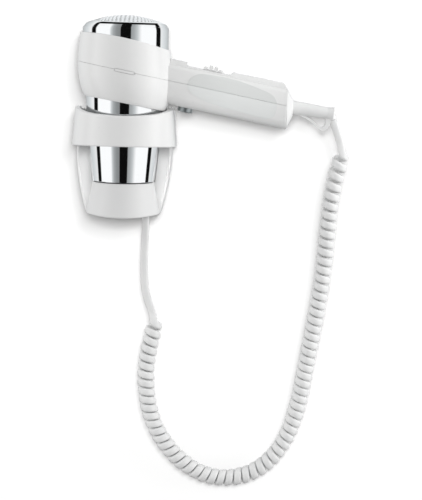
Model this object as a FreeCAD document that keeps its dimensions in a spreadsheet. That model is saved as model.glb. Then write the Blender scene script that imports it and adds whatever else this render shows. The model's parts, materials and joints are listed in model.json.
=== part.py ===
import FreeCAD, Part
import math
import os
import re
import Sketcher
from FreeCAD import Matrix, Placement, Rotation, Vector

# Wall-held hair dryer: a handset standing nozzle down in a wall holder, joined by a
# curly cord. Millimetres, +Z up, +Y into the wall, the wall's face is the plane Y = 0.
# The barrel's axis is vertical, at X = 0 and Y = axis_y. The handle droops to +X.

doc = FreeCAD.newDocument("HairDryer")
sheet = doc.addObject("Spreadsheet::Sheet", "Dimensions")
sheet.Label = "Dimensions"
rows = [0]


def value(x):
    return x.value if isinstance(x, Size) else float(x)


def text(x):
    if isinstance(x, Size):
        return x.expr
    return "%.6g" % x if x >= 0 else "(%.6g)" % x


class Size:
    """A number together with the spreadsheet expression that it comes from."""

    def __init__(self, number, expr):
        self.value = float(number)
        self.expr = expr

    def __add__(self, o):
        return Size(self.value + value(o), "(%s + %s)" % (self.expr, text(o)))

    def __radd__(self, o):
        return Size(value(o) + self.value, "(%s + %s)" % (text(o), self.expr))

    def __sub__(self, o):
        return Size(self.value - value(o), "(%s - %s)" % (self.expr, text(o)))

    def __rsub__(self, o):
        return Size(value(o) - self.value, "(%s - %s)" % (text(o), self.expr))

    def __mul__(self, o):
        return Size(self.value * value(o), "(%s * %s)" % (self.expr, text(o)))

    def __rmul__(self, o):
        return Size(value(o) * self.value, "(%s * %s)" % (text(o), self.expr))

    def __truediv__(self, o):
        return Size(self.value / value(o), "(%s / %s)" % (self.expr, text(o)))

    def __neg__(self):
        return Size(-self.value, "(0 - %s)" % self.expr)


def dim(alias, number, note):
    rows[0] += 1
    sheet.set("A%d" % rows[0], note)
    sheet.set("B%d" % rows[0], "%.6g" % number)
    sheet.setAlias("B%d" % rows[0], alias)
    return Size(number, "Dimensions." + alias)


# ---------------------------------------------------------------- driving dimensions
axis_y = dim("axis_y", -52, "barrel axis, distance in front of the wall")
seam_z = dim("seam_z", 86.3, "height of the casing's parting plane on the barrel axis")
droop = dim("droop", 10.8, "droop of the handle and of the parting plane, degrees")
droop_cos = dim("droop_cos", math.cos(math.radians(10.8)), "cosine of the droop")
droop_sin = dim("droop_sin", math.sin(math.radians(10.8)), "sine of the droop")

dome_top = dim("dome_top", 137, "top of the intake dome")
cap_r = dim("cap_r", 39.2, "outer radius of the chromed rear tube")
cap_top = dim("cap_top", 126.6, "top of the chromed rear tube")
cap_low = dim("cap_low", 99.2, "lower end of the chromed rear tube inside the casing")
nozzle_end = dim("nozzle_end", -14.4, "lower end of the nozzle")
nozzle_r_end = dim("nozzle_r_end", 28.7, "outer radius at the nozzle's end")
nozzle_r_mid = dim("nozzle_r_mid", 34.9, "outer radius where the taper changes")
nozzle_mid = dim("nozzle_mid", 46, "height where the taper changes")
nozzle_r_top = dim("nozzle_r_top", 35.6, "outer radius inside the casing")
nozzle_top = dim("nozzle_top", 71.7, "top of the nozzle tube inside the casing")
nozzle_wall = dim("nozzle_wall", 1.5, "wall of the nozzle tube")

casing_wall = dim("casing_wall", 2.2, "wall of the handle shells")
seam_gap = dim("seam_gap", 0.2, "width of the parting line")
handle_end_x = dim("handle_end_x", 148, "end of the casing")
handle_low = dim("handle_low", -21, "underside of the handle in its own frame")
handle_top = dim("handle_top", 15.5, "top of the handle shells in their own frame")

slide_u = dim("slide_u", 78.5, "slide switch, place along the handle")
slide_travel = dim("slide_travel", 5, "travel of the slide switch each way")
button_u = dim("button_u", 61, "push button, place along the handle")
button_r = dim("button_r", 6.85, "radius of the push button")
button_out = dim("button_out", 4.3, "height of the push button over the handle")

motor_r = dim("motor_r", 13.2, "outer radius of the motor can")
shaft_r = dim("shaft_r", 1.2, "radius of the motor shaft")
fan_r = dim("fan_r", 34.4, "tip radius of the fan")
coil_major = dim("coil_major", 22, "mean radius of the heating coils")
coil_minor = dim("coil_minor", 1.3, "wire bundle radius of the heating coils")

plate_depth = dim("plate_depth", 46, "depth of the holder's back shell from the wall")
shell_wall = dim("shell_wall", 2.4, "wall of the holder")
collar_r_low = dim("collar_r_low", 48.16, "outer radius of the collar at Z = 10")
collar_r_high = dim("collar_r_high", 44.25, "outer radius of the collar at Z = 62")
pedestal_r_low = dim("pedestal_r_low", 35.3, "half width of the pedestal at Z = -52")
pedestal_r_top = dim("pedestal_r_top", 28.0, "half width of the pedestal at its top")
pedestal_top = dim("pedestal_top", -15.2, "height of the pedestal's top")
wall_hole_r = dim("wall_hole_r", 2.25, "radius of the wall screw holes")
wall_hole_x = dim("wall_hole_x", 40, "wall screw holes, spacing across")
wall_hole_z = dim("wall_hole_z", 50, "wall screw holes, spacing up and down")

cord_d = dim("cord_d", 6.6, "width of the flat lead")
cord_t = dim("cord_t", 4.2, "thickness of the flat lead")
helix_d = dim("helix_d", 15.3, "outer diameter of the curly cord")

C, S = value(droop_cos), value(droop_sin)
tilt = Rotation(Vector(0, 1, 0), value(droop))
ALONG_X = Rotation(Vector(0, 1, 0), 90)
ALONG_Y = Rotation(Vector(1, 0, 0), -90)


# ---------------------------------------------------------------- helpers
def place(obj, base, rot=None):
    rot = rot or Rotation()
    obj.Placement = Placement(Vector(*[value(b) for b in base]), rot)
    for name, b in zip("xyz", base):
        if isinstance(b, Size):
            obj.setExpression("Placement.Base." + name, b.expr)
    return obj


def bind(obj, prop, size):
    setattr(obj, prop, value(size))
    if isinstance(size, Size):
        obj.setExpression(prop, size.expr)


def at_handle(u, y, w):
    """Point u along the handle, y across it (+Y), w above the parting plane."""
    return (droop_cos * u + droop_sin * w, axis_y + y, seam_z - droop_sin * u + droop_cos * w)


def box(name, size, base, rot=None):
    o = doc.addObject("Part::Box", name)
    for prop, s in zip(("Length", "Width", "Height"), size):
        bind(o, prop, s)
    return place(o, base, rot)


def cylinder(name, r, height, base, rot=None):
    o = doc.addObject("Part::Cylinder", name)
    bind(o, "Radius", r)
    bind(o, "Height", height)
    return place(o, base, rot)


def cone(name, r1, r2, height, base, rot=None):
    o = doc.addObject("Part::Cone", name)
    bind(o, "Radius1", r1)
    bind(o, "Radius2", r2)
    bind(o, "Height", height)
    return place(o, base, rot)


def torus(name, major, minor, base, rot=None):
    o = doc.addObject("Part::Torus", name)
    bind(o, "Radius1", major)
    bind(o, "Radius2", minor)
    return place(o, base, rot)


def cut(name, base, tool):
    o = doc.addObject("Part::Cut", name)
    o.Base, o.Tool = base, tool
    return o


def common(name, a, b):
    o = doc.addObject("Part::MultiCommon", name)
    o.Shapes = [a, b]
    return o


def fuse(name, items):
    o = doc.addObject("Part::MultiFuse", name)
    o.Shapes = items
    return o


def group(name, items):
    o = doc.addObject("Part::Compound", name)
    o.Links = items
    return o


def soften(name, obj, rules):
    """Rounds the edges that a rule picks. A rule is (test on middle point and ends, radius)."""
    doc.recompute()
    picked = []
    for i, e in enumerate(obj.Shape.Edges):
        if e.Length < 0.02:
            continue
        m = e.valueAt((e.FirstParameter + e.LastParameter) / 2)
        ends = [v.Point for v in e.Vertexes]
        for test, r in rules:
            if test(m, ends, e):
                picked.append((i + 1, r, r))
                break
    if not picked:
        raise RuntimeError("no edge to round on " + name)
    o = doc.addObject("Part::Fillet", name)
    o.Base = obj
    o.Edges = picked
    obj.Visibility = False
    return o


def feature(name, shape):
    o = doc.addObject("Part::Feature", name)
    o.Shape = shape
    return o


def body(name, base=(0, 0, 0), rot=None):
    return place(doc.addObject("PartDesign::Body", name), base, rot)


def sketch(b, role, name, offset=None):
    sk = b.newObject("Sketcher::SketchObject", name)
    plane = [f for f in b.Origin.OriginFeatures if f.Role == role][0]
    sk.AttachmentSupport = [(plane, "")]
    sk.MapMode = "FlatFace"
    if offset is not None:
        sk.AttachmentOffset = Placement(Vector(0, 0, value(offset)), Rotation())
        if isinstance(offset, Size):
            sk.setExpression("AttachmentOffset.Base.z", offset.expr)
    return sk


def pin(sk, geo, pos, x, y, tag):
    """Hold a sketch point at x, y, bound to the sheet where a size is given."""
    for kind, v, axis, letter in (("DistanceX", x, -2, "x"), ("DistanceY", y, -1, "y")):
        if not isinstance(v, Size) and abs(v) < 1e-9:
            sk.addConstraint(Sketcher.Constraint("PointOnObject", geo, pos, axis))
            continue
        i = sk.addConstraint(Sketcher.Constraint(kind, -1, 1, geo, pos, value(v)))
        if isinstance(v, Size):
            sk.renameConstraint(i, letter + tag)
            sk.setExpression("Constraints." + letter + tag, v.expr)


def outline(sk, points):
    """Closed outline of lines and arcs. A point is (x, y) or (x, y, (mid x, mid y))."""
    n = len(points)
    starts, ends = [], []
    for i in range(n):
        a, b = points[i], points[(i + 1) % n]
        p, q = Vector(value(a[0]), value(a[1]), 0), Vector(value(b[0]), value(b[1]), 0)
        if len(b) > 2:
            m = Vector(value(b[2][0]), value(b[2][1]), 0)
            g = sk.addGeometry(Part.Arc(p, m, q), False)
            first = sk.getPoint(g, 1)
            same = first.distanceToPoint(p) < 1e-4
            starts.append((g, 1 if same else 2))
            ends.append((g, 2 if same else 1))
            hub = sk.Geometry[g].Center
            chord = q - p
            if abs(chord.y) > abs(chord.x):
                kind, along, axis = "DistanceX", hub.x, -2
            else:
                kind, along, axis = "DistanceY", hub.y, -1
            if abs(along) < 1e-9:
                sk.addConstraint(Sketcher.Constraint("PointOnObject", g, 3, axis))
            else:
                sk.addConstraint(Sketcher.Constraint(kind, -1, 1, g, 3, along))
        else:
            g = sk.addGeometry(Part.LineSegment(p, q), False)
            starts.append((g, 1))
            ends.append((g, 2))
    for i in range(n):
        j = (i + 1) % n
        sk.addConstraint(
            Sketcher.Constraint("Coincident", ends[i][0], ends[i][1], starts[j][0], starts[j][1])
        )
    for i in range(n):
        pin(sk, starts[i][0], starts[i][1], points[i][0], points[i][1], "p%d" % i)
    return sk


def circle(sk, r, x=0, y=0, tag="0"):
    g = sk.addGeometry(Part.Circle(Vector(value(x), value(y), 0), Vector(0, 0, 1), value(r)), False)
    pin(sk, g, 3, x, y, "c" + tag)
    i = sk.addConstraint(Sketcher.Constraint("Radius", g, value(r)))
    if isinstance(r, Size):
        sk.renameConstraint(i, "r" + tag)
        sk.setExpression("Constraints.r" + tag, r.expr)
    return sk


def closed_spline(sk, points):
    c = Part.BSplineCurve()
    c.interpolate([Vector(x, y, 0) for x, y in points], PeriodicFlag=True)
    g = sk.addGeometry(c, False)
    sk.addConstraint(Sketcher.Constraint("Block", g))
    return sk


def pad(b, sk, length, name, reverse=False):
    f = b.newObject("PartDesign::Pad", name)
    f.Profile = sk
    bind(f, "Length", length)
    f.Reversed = reverse
    return f


def spin(b, sk, name, kind="PartDesign::Revolution"):
    f = b.newObject(kind, name)
    f.Profile = sk
    f.ReferenceAxis = (sk, ["V_Axis"])
    f.Angle = 360
    return f


def turned(name, profile, base=None):
    """Body of revolution about the barrel axis from (radius, height) points."""
    b = body(name, base or (0, axis_y, 0))
    spin(b, outline(sketch(b, "XZ_Plane", name + "_profile"), profile), name + "_turn")
    return b


def rounded(y0, z0, y1, z1, low, high):
    """Rectangle outline with corner radii low and high."""
    k = 1 - math.sqrt(0.5)
    return [
        (y0 + low, z0),
        (y1 - low, z0),
        (y1, z0 + low, (y1 - low * k, z0 + low * k)),
        (y1, z1 - high),
        (y1 - high, z1, (y1 - high * k, z1 - high * k)),
        (y0 + high, z1),
        (y0, z1 - high, (y0 + high * k, z1 - high * k)),
        (y0, z0 + low),
    ] + []


def close_corner(points, y0, z0, low):
    """Turns the last line back to the first point into the fourth corner's arc."""
    k = 1 - math.sqrt(0.5)
    first = points[0]
    points[0] = (first[0], first[1], (y0 + low * k, z0 + low * k))
    return points


def rounded_box(y0, z0, y1, z1, low, high):
    return close_corner(rounded(y0, z0, y1, z1, low, high), y0, z0, low)


def handle_section(inset):
    """Section of the handle: gently bulged sides, small top and large bottom corners.

    Given as (y, w) points of lines and arcs, moved inwards by inset."""
    side_r, side_y, side_w = 60.0, 17.3, -1.0
    cx = side_y - side_r
    top, low = value(handle_top), value(handle_low)
    rt, rb = 5.0, 10.0
    ty = cx + math.sqrt((side_r - rt) ** 2 - (top - rt - side_w) ** 2)
    tw = top - rt
    by = cx + math.sqrt((side_r - rb) ** 2 - (low + rb - side_w) ** 2)
    bw = low + rb
    a_t = math.atan2(tw - side_w, ty - cx)
    a_b = math.atan2(bw - side_w, by - cx)
    t = inset
    p1 = (ty, top - t)
    m1 = (ty + (rt - t) * math.cos((a_t + math.pi / 2) / 2), tw + (rt - t) * math.sin((a_t + math.pi / 2) / 2))
    p2 = (ty + (rt - t) * math.cos(a_t), tw + (rt - t) * math.sin(a_t))
    mid = (a_t + a_b) / 2
    m2 = (cx + (side_r - t) * math.cos(mid), side_w + (side_r - t) * math.sin(mid))
    p3 = (by + (rb - t) * math.cos(a_b), bw + (rb - t) * math.sin(a_b))
    m3 = (by + (rb - t) * math.cos((a_b - math.pi / 2) / 2), bw + (rb - t) * math.sin((a_b - math.pi / 2) / 2))
    p4 = (by, low + t)

    def flip(p):
        return (-p[0], p[1])

    return [
        (flip(p1)[0], handle_top - t),
        (p1[0], handle_top - t),
        (p2[0], p2[1], m1),
        (p3[0], p3[1], m2),
        (p4[0], handle_low + t, m3),
        (-p4[0], handle_low + t),
        (-p3[0], p3[1], flip(m3)),
        (-p2[0], p2[1], flip(m2)),
    ]


def handle_bar(name, inset, u0, u1):
    """Bar with the handle's section, from u0 to u1 along the handle."""
    b = body(name, at_handle(0, 0, 0), tilt)
    pts = handle_section(inset)
    m = pts[2][2]
    pts[0] = (pts[0][0], pts[0][1], (-m[0], m[1]))
    pad(b, outline(sketch(b, "YZ_Plane", name + "_section", u0), pts), u1 - u0, name + "_pad")
    return b


def tube(points, r):
    """Round tube along straight runs joined by tangent arcs. Returns solid and radii."""
    pts = [Vector(*p) for p in points]
    edges, radii, cursor, length = [], [], pts[0], 0.0
    for i in range(1, len(pts) - 1):
        a, b, c = pts[i - 1], pts[i], pts[i + 1]
        d1, d2 = (b - a).normalize(), (c - b).normalize()
        turn = math.acos(max(-1, min(1, d1.dot(d2))))
        short = min((b - a).Length, (c - b).Length)
        back = 0.45 * short
        radius = back / math.tan(turn / 2)
        radii.append(radius)
        s, e = b - d1 * back, b + d2 * back
        centre_dir = (d2 - d1).normalize()
        centre = b + centre_dir * (radius / math.cos(turn / 2))
        m = centre - centre_dir * radius
        edges.append(Part.LineSegment(cursor, s).toShape())
        edges.append(Part.Arc(s, m, e).toShape())
        cursor = e
    edges.append(Part.LineSegment(cursor, pts[-1]).toShape())
    wire = Part.Wire(edges)
    length = wire.Length
    start = (pts[1] - pts[0]).normalize()
    ring = Part.Wire([Part.Circle(pts[0], start, r).toShape()])
    solid = wire.makePipeShell([ring], True, False)
    return solid, radii, length


# ================================================================ HANDSET
# ---------------------------------------------------------------- barrel, chromed parts
rear_cap = turned(
    "rear_cap",
    [
        (cap_r - 1.5, cap_low),
        (cap_r, cap_low),
        (cap_r, cap_top - 3.6),
        (cap_r - 0.7, cap_top, (cap_r - 0.12, cap_top - 1.5)),
        (cap_r - 2.0, cap_top),
        (cap_r - 2.0, cap_top - 7.4),
        (cap_r - 3.6, cap_top - 7.4),
        (cap_r - 3.6, cap_top - 9.0),
        (cap_r - 1.5, cap_top - 9.0),
    ],
)

dome_blank = turned(
    "dome_blank",
    [
        (0, dome_top - 1.4),
        (0, dome_top),
        (30.5, dome_top - 5.5, (16.3, dome_top - 1.45)),
        (38.45, cap_top + 0.2, (35.9, dome_top - 7.6)),
        (cap_r - 2.3, cap_top + 0.2),
        (cap_r - 2.3, cap_top - 5.0),
        (cap_r - 3.5, cap_top - 5.0),
        (cap_r - 3.5, cap_top + 1.2),
        (30.0, dome_top - 7.0, (33.9, dome_top - 8.1)),
    ],
)
punches = []
ring_pitch, punch_r = 3.7, 1.1
for ring in range(0, 9):
    count = 1 if ring == 0 else 6 * ring
    for i in range(count):
        a = 2 * math.pi * (i + 0.5 * (ring % 2)) / count
        punches.append(
            Part.makeCylinder(
                punch_r,
                20,
                Vector(ring * ring_pitch * math.cos(a), value(axis_y) + ring * ring_pitch * math.sin(a), value(dome_top) - 15),
            )
        )
hole_punches = feature("hole_punches", Part.makeCompound(punches))
rear_grille = cut("rear_grille", dome_blank, hole_punches)

intake_filter = cylinder("intake_filter", cap_r - 2.25, 1.3, (0, axis_y, cap_top - 7.4))

nozzle = turned(
    "nozzle",
    [
        (nozzle_r_end - nozzle_wall, nozzle_end),
        (nozzle_r_end - 0.5, nozzle_end),
        (nozzle_r_end - 0.13, nozzle_end + 0.14),
        (nozzle_r_end + 0.05, nozzle_end + 0.5),
        (nozzle_r_mid, nozzle_mid),
        (nozzle_r_top, 66),
        (nozzle_r_top, nozzle_top),
        (nozzle_r_top - nozzle_wall, nozzle_top),
        (nozzle_r_top - nozzle_wall, 66),
        (nozzle_r_mid - nozzle_wall, nozzle_mid),
    ],
)

# ---------------------------------------------------------------- casing shells
# The band round the barrel is a turned barrel shape sheared along the parting plane,
# so that its section at every height is a circle about the vertical axis.
shear = value(droop_sin) / value(droop_cos)
seam_rise = 0.031  # the parting plane also rises a little towards the front
band_points = [
    (31.5, 50.0),
    (35.3, 54.5),
    (37.6, 57.5),
    (39.9, 62.7),
    (42.1, 70.9),
    (43.2, 80.0),
    (43.4, 87.0),
    (42.9, 97.5),
    (42.0, 107.0),
    (41.1, 114.0),
    (39.6, 125.0),
]
band_curve = Part.BSplineCurve()
band_curve.interpolate([Vector(r, 0, z) for r, z in band_points])
low_p, high_p = Vector(31.5, 0, 50.0), Vector(39.6, 0, 125.0)


def band_at(z):
    """Parameter of the band's profile at height z."""
    lo, hi = band_curve.FirstParameter, band_curve.LastParameter
    for _ in range(60):
        mid = (lo + hi) / 2
        if band_curve.value(mid).z < z:
            lo = mid
        else:
            hi = mid
    return (lo + hi) / 2


def band_part(z0, z1, inner):
    """Sheared turned ring between two heights, in four quarters so that every face is small."""
    curve = band_curve.copy()
    curve.segment(max(band_at(z0), curve.FirstParameter), min(band_at(z1), curve.LastParameter))
    p, q = curve.StartPoint, curve.EndPoint
    wire = Part.Wire(
        [
            curve.toShape(),
            Part.LineSegment(q, Vector(inner, 0, q.z)).toShape(),
            Part.LineSegment(Vector(inner, 0, q.z), Vector(inner, 0, p.z)).toShape(),
            Part.LineSegment(Vector(inner, 0, p.z), p).toShape(),
        ]
    )
    lean = Matrix()
    lean.A31, lean.A32 = -shear, -seam_rise
    quarters = []
    for k in range(4):
        f = Part.Face(wire)
        f.rotate(Vector(0, 0, 0), Vector(0, 0, 1), 45 + 90 * k)
        q4 = f.revolve(Vector(0, 0, 0), Vector(0, 0, 1), 90).transformGeometry(lean)
        q4.translate(Vector(0, value(axis_y), 0))
        if q4.Volume < 0:
            q4.reverse()
        quarters.append(q4)
    return quarters[0].fuse(quarters[1:])


mid_z = value(seam_z)
band_upper = feature("band_upper", band_part(mid_z + value(seam_gap) / 2 / C, 125.0, 30.0))
band_lower = feature("band_lower", band_part(50.0, mid_z - value(seam_gap) / 2 / C, 30.0))


handle_outer = handle_bar("handle_outer", 0, 30, 165)
handle_inner = handle_bar("handle_inner", value(casing_wall), 34, 168)


def arc_z(p, q, r, x):
    """Height at x of the circle through three (x, z) points."""
    a = Part.Arc(Vector(p[0], 0, p[1]), Vector(q[0], 0, q[1]), Vector(r[0], 0, r[1])).toShape().Curve
    c, rad = a.Center, a.Radius
    up = 1 if q[1] > c.z else -1
    return c.z + up * math.sqrt(rad * rad - (x - c.x) ** 2)


top_arc = ((-40.6, 121.3), (-2.2, 117.6), (41.6, 105.6))
low_arc = ((-38.1, 63.8), (0.0, 58.7), (35.9, 50.7))
top_cut = body("top_cut", (0, 20, 0))
pad(
    top_cut,
    outline(
        sketch(top_cut, "XZ_Plane", "top_cut_outline"),
        [
            (-55, 150),
            (-55, arc_z(*top_arc, -55)),
            (46.5, arc_z(*top_arc, 46.5), (-2.2, 117.6)),
            (46.5, 150),
        ],
    ),
    150,
    "top_cut_pad",
)
low_cut = body("low_cut", (0, 20, 0))
pad(
    low_cut,
    outline(
        sketch(low_cut, "XZ_Plane", "low_cut_outline"),
        [
            (-55, 20),
            (46.5, 20),
            (46.5, arc_z(*low_arc, 46.5)),
            (-55, arc_z(*low_arc, -55), (0.0, 58.7)),
        ],
    ),
    150,
    "low_cut_pad",
)
end_cut = box("end_cut", (60, 80, 120), (handle_end_x, axis_y - 40, 0))
casing_bore = turned(
    "casing_bore",
    [
        (0, 20),
        (nozzle_r_top + 0.15, 20),
        (nozzle_r_top + 0.15, nozzle_top + 0.3),
        (37.6, nozzle_top + 0.3),
        (37.6, cap_low - 0.2),
        (cap_r + 0.2, cap_low - 0.2),
        (cap_r + 0.2, 150),
        (0, 150),
    ],
)

# Grip pads let into the handle's sides; the outline is the same on both sides.
pad_outline = [
    (58.3, 0.9),
    (59.1, 5.2),
    (63.2, 10.0),
    (77.5, 13.3),
    (100.9, 13.6),
    (125.4, 10.1),
    (138.0, 5.6),
    (141.4, 0.5),
    (142.2, -5.0),
    (141.2, -11.2),
    (137.2, -14.6),
    (131.0, -15.3),
    (107.0, -13.9),
    (82.9, -11.9),
    (64.0, -6.6),
    (59.0, -2.2),
]
pad_prism = body("pad_prism", at_handle(0, 30, 0), tilt)
pad(pad_prism, closed_spline(sketch(pad_prism, "XZ_Plane", "pad_prism_outline"), pad_outline), 60, "pad_prism_pad")
pad_bed = handle_bar("pad_bed", 0.95, 40, 150)
pad_skin = handle_bar("pad_skin", -0.25, 40, 150)
pad_block = common("pad_block", pad_prism, pad_skin)
pad_full = cut("pad_full", pad_block, pad_bed)

# Slim latch plate let into the front of the band on the parting line.
def latch_block(name, half):
    """Long slot shape of that half height along the parting line, its left end rounded by a pin."""
    prism = body(name + "_prism", (1.5, axis_y - 40.8, 87.0), tilt)
    pad(
        prism,
        outline(
            sketch(prism, "XZ_Plane", name + "_outline"),
            [(-8.2, -half), (8.2, -half), (8.2, half, (8.2 + half, 0)), (-8.2, half)],
        ),
        8,
        name + "_pad",
    )
    end = cylinder(name + "_round", half, 8, (-6.555, axis_y - 40.8, 88.54), Rotation(Vector(1, 0, 0), 90))
    return fuse(name, [prism, end])


latch_tool = latch_block("latch_tool", 1.4)
latch_blank = latch_block("latch_blank", 1.12)
latch_face = cylinder("latch_face", 43.3, 60, (0, axis_y, 60))
latch_notch = cylinder("latch_notch", 0.5, 3, (10.05, axis_y - 41.4, 85.37), Rotation(Vector(1, 0, 0), 90))
seam_latch = cut("seam_latch", common("latch_skin", latch_blank, latch_face), latch_notch)

slide_slot = box("slide_slot", (2 * slide_travel + 5, 3.0, 10), at_handle(slide_u - slide_travel - 2.5, -1.5, 10), tilt)
button_hole = cylinder("button_hole", button_r + 0.3, 8, at_handle(button_u, 0, -24), tilt)

voids = fuse(
    "casing_voids",
    [top_cut, low_cut, end_cut, casing_bore, handle_inner, pad_full, latch_tool, slide_slot, button_hole],
)
lean_angle = math.atan(seam_rise * C)
lean_s, lean_c = math.sin(lean_angle), math.cos(lean_angle)
lean_tilt = tilt.multiply(Rotation(Vector(1, 0, 0), -math.degrees(lean_angle)))
half_up = box("half_up", (260, 140, 120), at_handle(-80, -70 * lean_c, 70 * lean_s - seam_gap / 2), lean_tilt)
half_down = box(
    "half_down", (260, 140, 120), at_handle(-80, -70 * lean_c - 120 * lean_s, 70 * lean_s - 120 * lean_c + seam_gap / 2), lean_tilt
)
handle_up = cut("handle_up", handle_outer, half_down)
handle_down = cut("handle_down", handle_outer, half_up)
shell_up = cut("shell_up", fuse("outer_up", [band_upper, handle_up]), voids)
shell_low = cut("shell_low", fuse("outer_low", [band_lower, handle_down]), voids)

screw_u = [106.0, 122.0]
up_bosses, up_holes, low_bosses, low_holes, screws = [], [], [], [], []
for i, u in enumerate(screw_u):
    up_bosses.append(cylinder("boss_up%d" % i, 4.2, 13.6, at_handle(u, 0, 0.15), tilt))
    up_holes.append(cylinder("pilot_up%d" % i, 1.4, 9, at_handle(u, 0, 0), tilt))
    low_bosses.append(cylinder("boss_low%d" % i, 4.6, 19.3, at_handle(u, 0, -19.5), tilt))
    low_holes.append(cylinder("pilot_low%d" % i, 1.6, 24, at_handle(u, 0, -22), tilt))
    low_holes.append(cylinder("bore_low%d" % i, 2.9, 8, at_handle(u, 0, -23), tilt))
    head = cylinder("screw_head%d" % i, 2.6, 2, at_handle(u, 0, -17), tilt)
    shank = cylinder("screw_shank%d" % i, 1.35, 22, at_handle(u, 0, -15), tilt)
    slot = box("screw_slot%d" % i, (4.0, 0.8, 1.0), at_handle(u - 2.0, -0.4, -17.2), tilt)
    screws.append(cut("screw%d" % i, fuse("screw_blank%d" % i, [head, shank]), slot))
casing_screws = group("casing_screws", screws)

clamp_post = box("clamp_post", (6, 20, 17), at_handle(134, -10, cord_t / -2 - 17), tilt)
clamp_holes = [cylinder("clamp_hole%d" % i, 1.15, 14, at_handle(137, y, -12), tilt) for i, y in ((0, -6.6), (1, 6.6))]

upper_full = cut("upper_full", fuse("upper_solid", [shell_up] + up_bosses), fuse("upper_holes", up_holes))
lower_full = cut(
    "lower_full", fuse("lower_solid", [shell_low] + low_bosses + [clamp_post]), fuse("lower_holes", low_holes + clamp_holes)
)


def on_rim(low, radius_test):
    """Edges that lie on the oblique cut round the band, outside or inside its wall."""
    arc = low_arc if low else top_arc

    def test(m, ends, e):
        if any(abs(q.z - arc_z(*arc, q.x)) > 0.05 for q in ends + [m]):
            return False
        return radius_test(math.hypot(m.x, m.y - value(axis_y)), m)

    return test


def handle_end_edge(m, ends, e):
    if e.Length < 2.5 or any(abs(q.x - value(handle_end_x)) > 0.01 for q in ends + [m]):
        return False
    w = (m.x * S + (m.z - value(seam_z)) * C)
    return abs(m.y - value(axis_y)) > 15.6 or w > 14.4 or w < -19.5


upper_round = soften("upper_round", upper_full, [(on_rim(False, lambda r, m: r > 40.2), 0.9)])
casing_upper = soften("casing_upper", upper_round, [(on_rim(False, lambda r, m: r < 39.8), 0.4), (handle_end_edge, 0.4)])
casing_lower = soften(
    "casing_lower",
    lower_full,
    [(on_rim(True, lambda r, m: r > 36.6), 0.9), (handle_end_edge, 0.8)],
)

grip_pads_upper = cut("grip_pads_upper", pad_full, half_down)
grip_pads_lower = cut("grip_pads_lower", pad_full, half_up)

# ---------------------------------------------------------------- switch panel on the handle
panel_bar = body("panel_bar", at_handle(0, 0, 0), tilt)
pad(
    panel_bar,
    outline(
        sketch(panel_bar, "YZ_Plane", "panel_section", 26),
        [
            (-9.8, handle_top),
            (9.8, handle_top),
            (8.9, handle_top + 3.3, (9.45, handle_top + 1.7)),
            (7.6, handle_top + 4.3, (8.5, handle_top + 4.0)),
            (-7.6, handle_top + 4.3),
            (-8.9, handle_top + 3.3, (-8.5, handle_top + 4.0)),
        ],
    ),
    125,
    "panel_pad",
)
panel_side = body("panel_side", at_handle(0, 30, 0), tilt)
pad(
    panel_side,
    outline(
        sketch(panel_side, "XZ_Plane", "panel_side_outline"),
        [
            (26, handle_top - 0.5),
            (147.55, handle_top - 0.5),
            (147.4, handle_top + 0.3),
            (140.5, handle_top + 4.2, (145.7, handle_top + 2.9)),
            (96.9, handle_top + 3.9),
            (95.0, handle_top + 1.0),
            (54.4, handle_top + 1.0),
            (53.6, handle_top + 4.3),
            (46.0, handle_top + 4.2),
            (26, handle_top + 12.0, (35.0, handle_top + 6.0)),
        ],
    ),
    60,
    "panel_side_pad",
)
panel_blank = common("panel_blank", panel_bar, panel_side)
panel_round = cylinder("panel_round", 42.5, 60, (0, axis_y, 80))
panel_tools = fuse("panel_tools", [panel_round, end_cut, slide_slot])
switch_panel = cut("switch_panel", panel_blank, panel_tools)

# slide knob: a low base with four rounded ribs that rise to a crown
knob = body("slide_knob_body", at_handle(0, 6.5, 0), tilt)
k0 = handle_top + 1.3
rib_tops = [(70.0, 73.2, 3.8), (74.9, 77.9, 5.9), (79.8, 82.6, 5.8), (84.0, 87.2, 3.6)]
knob_pts = [(69.6, k0), (87.6, k0), (87.6, handle_top + 1.9)]
for x0, x1, top in reversed(rib_tops):
    m = (x0 + x1) / 2.0
    rr = (x1 - x0) / 2.0
    knob_pts.append((x1, handle_top + 1.9))
    knob_pts.append((x1, handle_top + (top - rr)))
    knob_pts.append((x0, handle_top + (top - rr), (m, handle_top + top)))
    knob_pts.append((x0, handle_top + 1.9))
knob_pts.append((69.6, handle_top + 1.9))
pad(knob, outline(sketch(knob, "XZ_Plane", "knob_outline"), knob_pts), 13, "knob_pad")
knob_stem = box("knob_stem", (4, 2.4, 8.2), at_handle(slide_u - 2, -1.2, handle_top - 6.5), tilt)
slide_knob = fuse("slide_knob", [knob, knob_stem])

switch_box = box("switch_box", (31, 14, 12), at_handle(63.5, -7, 1.0), tilt)
switch_groove = box("switch_groove", (2 * slide_travel + 6, 3.4, 6), at_handle(slide_u - slide_travel - 3, -1.7, 8), tilt)
switch_body = cut("switch_body", switch_box, switch_groove)

# ---------------------------------------------------------------- push button
button = body("push_button", at_handle(button_u, 0, 0), tilt)
spin(
    button,
    outline(
        sketch(button, "XZ_Plane", "button_profile"),
        [
            (0, handle_low - button_out),
            (button_r - 1.0, handle_low - button_out),
            (button_r, handle_low - button_out + 1.0, (button_r - 0.293, handle_low - button_out + 0.293)),
            (button_r, -18.1),
            (8.2, -18.1),
            (8.2, -17.0),
            (2.0, -17.0),
            (2.0, -8.6),
            (0, -8.6),
        ],
    ),
    "button_turn",
)
micro_block = box("micro_block", (14, 8, 6.5), at_handle(button_u - 7, -4, -8), tilt)
micro_hole = cylinder("micro_hole", 2.3, 4.2, at_handle(button_u, 0, -8.1), tilt)
micro_switch = cut("micro_switch", micro_block, micro_hole)

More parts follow.
